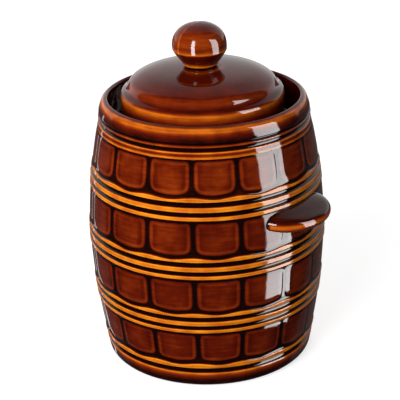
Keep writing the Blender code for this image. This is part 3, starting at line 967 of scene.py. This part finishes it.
def noise(tree, scale, stretch, detail):
    """Noise on object coordinates, with its pattern stretched by a factor along each axis."""
    place = tree.add("ShaderNodeTexCoord")
    mapping = tree.add("ShaderNodeMapping")
    mapping.inputs["Scale"].default_value = stretch
    tree.join(place.outputs["Object"], mapping.inputs["Vector"])
    pattern = tree.add("ShaderNodeTexNoise", Scale=scale, Detail=detail)
    tree.join(mapping.outputs["Vector"], pattern.inputs["Vector"])
    return pattern.outputs["Fac"]


# %% [markdown]
# The glaze is a colour ramp over the tone: amber where it is thin, red-brown on the flats and
# almost black in the pools. A streaky noise that is stretched round the pot stands for the marks
# of the brush and the wheel, and a softer one clouds the colour. The gloss is the shader's own
# reflection, and the same clouds make it a little less sharp in places. Values that are the same
# all over are set on the shader's sockets.

# %% The brown glaze
GLAZE_STEPS = (
    (0.00, (0.95, 0.33, 0.012)),
    (0.20, (0.60, 0.135, 0.006)),
    (0.38, (0.30, 0.042, 0.003)),
    (0.50, (0.185, 0.020, 0.002)),
    (0.62, (0.105, 0.0075, 0.001)),
    (0.75, (0.060, 0.0035, 0.0008)),
    (0.90, (0.012, 0.002, 0.001)),
    (1.00, (0.006, 0.001, 0.001)),
)
STREAKS = (60.0, (1.0, 1.0, 9.0), 4.0)
CLOUDS = (70.0, EVEN, 3.0)
RIPPLES = (110.0, EVEN, 2.0)
NOISE_MIDDLE = 0.5
GLOSS_SPREAD = 0.05
GLOSS_BASE = 0.03
GLAZE_IOR = 1.5


def glaze(name, streak_gain, cloud_gain):
    """Brown glaze whose colour follows the tone on the mesh."""
    tree = Tree(bpy.data.materials.new(name))
    tone = tree.add("ShaderNodeAttribute", attribute_name="tone").outputs["Fac"]
    clouds = noise(tree, *CLOUDS)
    for pattern, gain in ((noise(tree, *STREAKS), streak_gain), (clouds, cloud_gain)):
        centred = tree.math("SUBTRACT", pattern, NOISE_MIDDLE)
        tone = tree.math("MULTIPLY_ADD", centred, gain, tone)
    tree.join(tree.ramp(tone, GLAZE_STEPS), tree.shader.inputs["Base Color"])
    tree.bump(noise(tree, *RIPPLES), strength=0.025, distance=0.002)
    gloss = tree.math("MULTIPLY_ADD", clouds, GLOSS_SPREAD, GLOSS_BASE)
    tree.join(gloss, tree.shader.inputs["Roughness"])
    tree.shader.inputs["IOR"].default_value = GLAZE_IOR
    return tree.owner


barrel.data.materials.append(glaze("barrel_glaze", streak_gain=0.22, cloud_gain=0.34))
lid.data.materials.append(glaze("lid_glaze", streak_gain=0.25, cloud_gain=0.22))
knob.data.materials.append(glaze("knob_glaze", streak_gain=0.32, cloud_gain=0.22))
for made in handles:
    made.data.materials.append(glaze(made.name + "_finish", streak_gain=0.20, cloud_gain=0.15))
print("glazes:", [made.data.materials[0].name for made in (barrel, lid, knob, *handles)])

# %% [markdown]
# The two weights lie inside, in the brine, and stay unglazed. Their solids from the frame are
# good as they are, so they only get a material: buff clay with dark specks, from a fine noise
# that a ramp cuts off low, so that just the darkest grains show.

# %% The bare clay of the weights
CLAY_STEPS = ((0.30, (0.20, 0.12, 0.07)), (0.42, (0.52, 0.39, 0.26)))
SPECKS = (900.0, EVEN, 1.0)
BODY_CLOUDS = (40.0, EVEN, 3.0)
BODY_CLOUD_GAIN = 0.25
CLAY_ROUGHNESS = 0.8


def bare_stoneware(name):
    """Unglazed buff clay with dark specks."""
    tree = Tree(bpy.data.materials.new(name))
    specks = noise(tree, *SPECKS)
    centred = tree.math("SUBTRACT", noise(tree, *BODY_CLOUDS), NOISE_MIDDLE)
    tone = tree.math("MULTIPLY_ADD", centred, BODY_CLOUD_GAIN, specks)
    tree.join(tree.ramp(tone, CLAY_STEPS), tree.shader.inputs["Base Color"])
    tree.bump(specks, strength=0.25, distance=0.0005)
    tree.shader.inputs["Roughness"].default_value = CLAY_ROUGHNESS
    return tree.owner


stoneware = bare_stoneware("weight_stoneware")
for node in ("weight_back", "weight_front"):
    frame["nodes"][node].data.materials.clear()
    frame["nodes"][node].data.materials.append(stoneware)
print("clay of the weights:", stoneware.name)

# %% [markdown]
# Each piece now rides on the body that carries it and stands in for its plain solid, which is
# hidden. So the knob goes up with the lid, and the handles stay with the barrel. The weights keep
# their own solids and move with their own bodies.

# %% Join the pieces to the frame
RIDES = (
    (barrel, "crock", "crock_body", "barrel_glaze"),
    (handles[0], "crock", "handle_right", "handle_glaze"),
    (handles[1], "crock", "handle_left", "handle_glaze"),
    (lid, "lid", "lid", "lid_glaze"),
    (knob, "lid", "lid_knob", "knob_glaze"),
)
for piece, body, node, slot in RIDES:
    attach(piece, body)
    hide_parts(node)
print("pieces joined:", [piece.name for piece, _, _, _ in RIDES])

# %% [markdown]
# The camera stands where the photograph's camera stood, worked out from the hoops and the
# outline: a long lens 1.16 m from the crock's axis and 0.62 m above the table, looking down by
# 23 degrees. The crock's right handle points away to the right of it. The focal length follows
# from how many of the picture's pixels one radian takes.

# %% The camera
CAMERA_TURN = math.radians(39.75)
CAMERA_DISTANCE = 1.1632
CAMERA_HEIGHT = 0.6205
LENS_PIXELS = 1494.6
FRAME_PIXELS = 400
SENSOR_WIDTH = 36.0
PITCH = math.radians(22.81)
YAW = math.radians(-0.268)
ROLL = math.radians(-1.6)


def stand_at(turn, distance, height):
    """Place at a turn from the front, a distance from the crock's axis and a height."""
    return Vector((math.sin(turn) * distance, -math.cos(turn) * distance, height))


def add_camera():
    """Long-lens camera at the photograph's place."""
    data = bpy.data.cameras.new("photo_camera")
    data.sensor_width = SENSOR_WIDTH
    data.lens = LENS_PIXELS / FRAME_PIXELS * SENSOR_WIDTH
    camera = bpy.data.objects.new("photo_camera", data)
    place = stand_at(CAMERA_TURN, CAMERA_DISTANCE, CAMERA_HEIGHT)
    aim = (Matrix.Rotation(CAMERA_TURN - YAW, 4, "Z")
           @ Matrix.Rotation(math.pi / 2 - PITCH, 4, "X")
           @ Matrix.Rotation(ROLL, 4, "Z"))
    camera.matrix_world = Matrix.Translation(place) @ aim
    bpy.context.scene.collection.objects.link(camera)
    bpy.context.scene.camera = camera


add_camera()
print("lens in millimetres:", round(bpy.context.scene.camera.data.lens, 1))

# %% [markdown]
# Glossy brown glaze shows its surroundings as much as its colour, so the light comes in two
# parts. Here is the first: two soft lamps, one from the left and one from behind, give the plain
# light that shows the colours, and reflections don't see them. Two strip lamps do the opposite.
# They show as a small highlight only, one on the knob and one on the right handle, by light
# linking: each lights a collection that holds that one piece.

# %% Lamps
LAMP_DISTANCE = 1.4
LAMP_AIM = Vector((0.0, 0.0, 0.12))


def area_lamp(name, turn, height, size, power):
    """Area light at a turn from the camera's direction in degrees, facing the crock's axis."""
    data = bpy.data.lights.new(name, "AREA")
    data.shape = "RECTANGLE"
    data.size, data.size_y = size
    data.energy = power
    lamp = bpy.data.objects.new(name, data)
    around = CAMERA_TURN + math.radians(turn)
    lamp.location = stand_at(around, LAMP_DISTANCE, height)
    lamp.rotation_euler = (math.pi / 2, 0.0, around)
    bpy.context.scene.collection.objects.link(lamp)
    return lamp


def soft_lamp(name, turn, height, power):
    """Square soft light, aimed at the crock's middle, that reflections don't see."""
    lamp = area_lamp(name, turn, height, (1.0, 1.0), power)
    toward = LAMP_AIM - lamp.location
    lamp.rotation_euler = toward.to_track_quat("-Z", "Y").to_euler()
    lamp.visible_glossy = False


def strip_lamp(name, turn, height, size, power, receiver):
    """Strip light near the camera, that only one piece reflects."""
    lamp = area_lamp(name, turn, height, size, power)
    lamp.visible_diffuse = False
    lamp.visible_camera = False
    lit = bpy.data.collections.new("lit_by_" + name)
    lit.objects.link(receiver)
    lamp.light_linking.receiver_collection = lit


soft_lamp("key_left", turn=-32, height=0.9, power=29)
soft_lamp("fill_behind", turn=175, height=0.7, power=12)
strip_lamp("knob_strip", turn=-27, height=0.45, size=(0.36, 2.0), power=36, receiver=knob)
strip_lamp("handle_strip", turn=-43, height=0.85, size=(0.85, 0.35), power=15,
           receiver=handles[0])
print("lamps:", len(bpy.data.lights))

# %% [markdown]
# The second part is the studio that reflections see. It could be built from lit cards, but
# cards would also light the crock, so it is painted on the world by direction. A world's
# Generated coordinates are the direction of a ray. We turn it to the camera's side, and then
# give it a bearing, which is positive to the right, and a height over the horizon, in degrees.

# %% Directions in the studio
def directions(tree):
    """Bearing and height of each direction in degrees, and how far back it points."""
    generated = tree.add("ShaderNodeTexCoord").outputs["Generated"]
    turned = tree.add("ShaderNodeVectorRotate", rotation_type="Z_AXIS", Angle=-CAMERA_TURN)
    tree.join(generated, turned.inputs["Vector"])
    parts = tree.add("ShaderNodeSeparateXYZ")
    tree.join(turned.outputs["Vector"], parts.inputs["Vector"])
    right, back, up = parts.outputs
    front = tree.math("MULTIPLY", back, -1.0)
    bearing = tree.math("DEGREES", tree.math("ARCTAN2", right, front))
    height = tree.math("DEGREES", tree.math("ARCSINE", up))
    return bearing, height, back


# %% [markdown]
# A lit patch lies between two bearings and two heights. A mask is 1 between two values and fades
# to 0 over a soft border, and masks multiplied with each other leave the patch. Curved glaze
# shows a window's lower part drawn out to one side, so a patch can lean there.

# %% Helpers for lit patches
NO_END = 400.0


def between(tree, value, low, high, soft):
    """Mask that is 1 between two values and fades to 0 over a soft border."""
    masks = []
    for edge, start, end in ((low, 0.0, 1.0), (high, 1.0, 0.0)):
        fade = tree.add("ShaderNodeMapRange", interpolation_type="SMOOTHSTEP")
        tree.join(value, fade.inputs["Value"])
        fade.inputs["From Min"].default_value = edge - soft
        fade.inputs["From Max"].default_value = edge + soft
        fade.inputs["To Min"].default_value = start
        fade.inputs["To Max"].default_value = end
        masks.append(fade.outputs["Result"])
    return tree.math("MULTIPLY", *masks)


def patch(tree, bearing, height, bearings, heights, lean, slant, soft, strength):
    """A lit patch between two bearings and two heights, in degrees.

    Below the horizon it leans by so many degrees of bearing for each degree of height, and its
    slant lowers its top towards one side.
    """
    bearing = tree.math("MULTIPLY_ADD", tree.math("MINIMUM", height, 0.0), lean, bearing)
    lowered = tree.math("SUBTRACT", bearing, bearings[0])
    lowered = tree.math("MULTIPLY_ADD", lowered, slant, height)
    mask = tree.math("MULTIPLY", between(tree, bearing, *bearings, soft),
                     between(tree, height, heights[0], NO_END, soft))
    mask = tree.math("MULTIPLY", mask, between(tree, lowered, -NO_END, heights[1], soft))
    return tree.math("MULTIPLY", mask, strength)


# %% [markdown]
# Behind the crock stands a pale backdrop that fades with height, and straight behind it the pale
# floor shows too. A tall window stands on the right and makes the long highlight on the barrel,
# and a thin strip behind the left edge draws the fine line there. Elsewhere the studio is nearly
# dark, so that the glaze stays deep.

# %% The studio in the reflections
DARK_LEVEL = 0.02
BACKDROP = ((0.0, 0.06), (2.0, 1.0), (10.0, 0.85), (18.0, 0.66), (30.0, 0.55), (47.0, 0.38),
            (84.0, 0.15))
BACKDROP_HALF = 0.45
BACKDROP_SOFT = 0.06
FLOOR_BACK = (0.928, 0.012)
FLOOR_HEIGHT = (1.0, 1.5)
FLOOR_STRENGTH = 0.75
ZENITH = 90.0
STUDIO_LIGHTS = {
    "window": {"bearings": (53.5, 83.5), "heights": (-35.0, 42.0), "lean": 0.22, "slant": 0.55,
               "soft": 1.0, "strength": 9.0},
    "left strip": {"bearings": (-132.5, -129.5), "heights": (-60.0, -6.0), "lean": -0.6,
                   "slant": 0.0, "soft": 0.8, "strength": 2.2},
}


def studio_level(tree):
    """How bright the studio is in each direction."""
    bearing, height, back = directions(tree)
    level_part = tree.math("COSINE", tree.math("RADIANS", height))
    past_side = tree.math("MULTIPLY_ADD", level_part, -BACKDROP_HALF, back)
    behind = between(tree, past_side, 0.0, NO_END, BACKDROP_SOFT)
    greys = [(lift / ZENITH, (strength,) * 3) for lift, strength in BACKDROP]
    sweep = tree.ramp(tree.math("DIVIDE", height, ZENITH), greys)
    studio = tree.math("MULTIPLY_ADD", behind, sweep, DARK_LEVEL)
    straight_back, back_soft = FLOOR_BACK
    floor_top, top_soft = FLOOR_HEIGHT
    pale_floor = tree.math("MULTIPLY", between(tree, back, straight_back, NO_END, back_soft),
                           between(tree, height, -NO_END, floor_top, top_soft))
    studio = tree.math("MULTIPLY_ADD", pale_floor, FLOOR_STRENGTH, studio)
    for light in STUDIO_LIGHTS.values():
        studio = tree.math("ADD", studio, patch(tree, bearing, height, **light))
    return studio


print("lights in the studio:", list(STUDIO_LIGHTS))

# %% [markdown]
# Light Path tells the rays apart: the camera sees white, reflections see the studio, and
# everything else gets a plain even light. So the background is white without more light on the
# crock. Standard is the view transform that shows a colour as it is written.

# %% The world
PLAIN_LEVEL = 0.24
WHITE = (1.0, 1.0, 1.0, 1.0)


def world():
    """White for the camera, the studio for reflections and a plain even light for the rest."""
    made = bpy.data.worlds.new("studio")
    bpy.context.scene.world = made
    tree = Tree(made)
    path = tree.add("ShaderNodeLightPath")
    over_plain = tree.math("SUBTRACT", studio_level(tree), PLAIN_LEVEL)
    level = tree.math("MULTIPLY", over_plain, path.outputs["Is Glossy Ray"])
    level = tree.math("ADD", level, PLAIN_LEVEL)
    seen = tree.math("MAXIMUM", path.outputs["Is Camera Ray"], path.outputs["Is Transmission Ray"])
    level = tree.math("MAXIMUM", level, seen)
    tree.join(level, tree.shader.inputs["Strength"])
    tree.shader.inputs["Color"].default_value = WHITE


world()
bpy.context.scene.view_settings.view_transform = "Standard"
print("plain light of the world:", PLAIN_LEVEL)

# %% [markdown]
# The floor is pale. The camera sees it glow a little short of white, and the lamps lift it to
# white except in the crock's shadow. Reflections see the studio instead of it.

# %% The floor
FLOOR_SIZE = 6.0
FLOOR_GREY = (0.5, 0.5, 0.5, 1.0)
FLOOR_GLOW = 0.72


def floor():
    """Pale floor that fades to white for the camera and keeps the crock's shadow."""
    bm = bmesh.new()
    bmesh.ops.create_grid(bm, x_segments=1, y_segments=1, size=FLOOR_SIZE)
    made = to_object(bm, "floor")
    made.visible_glossy = False
    tree = Tree(bpy.data.materials.new("floor_white"))
    path = tree.add("ShaderNodeLightPath")
    tree.shader.inputs["Base Color"].default_value = FLOOR_GREY
    tree.shader.inputs["Roughness"].default_value = 1.0
    tree.shader.inputs["Specular IOR Level"].default_value = 0.0
    tree.shader.inputs["Emission Color"].default_value = WHITE
    glow = tree.math("MULTIPLY", path.outputs["Is Camera Ray"], FLOOR_GLOW)
    tree.join(glow, tree.shader.inputs["Emission Strength"])
    made.data.materials.append(tree.owner)


floor()
print("floor glow:", FLOOR_GLOW)
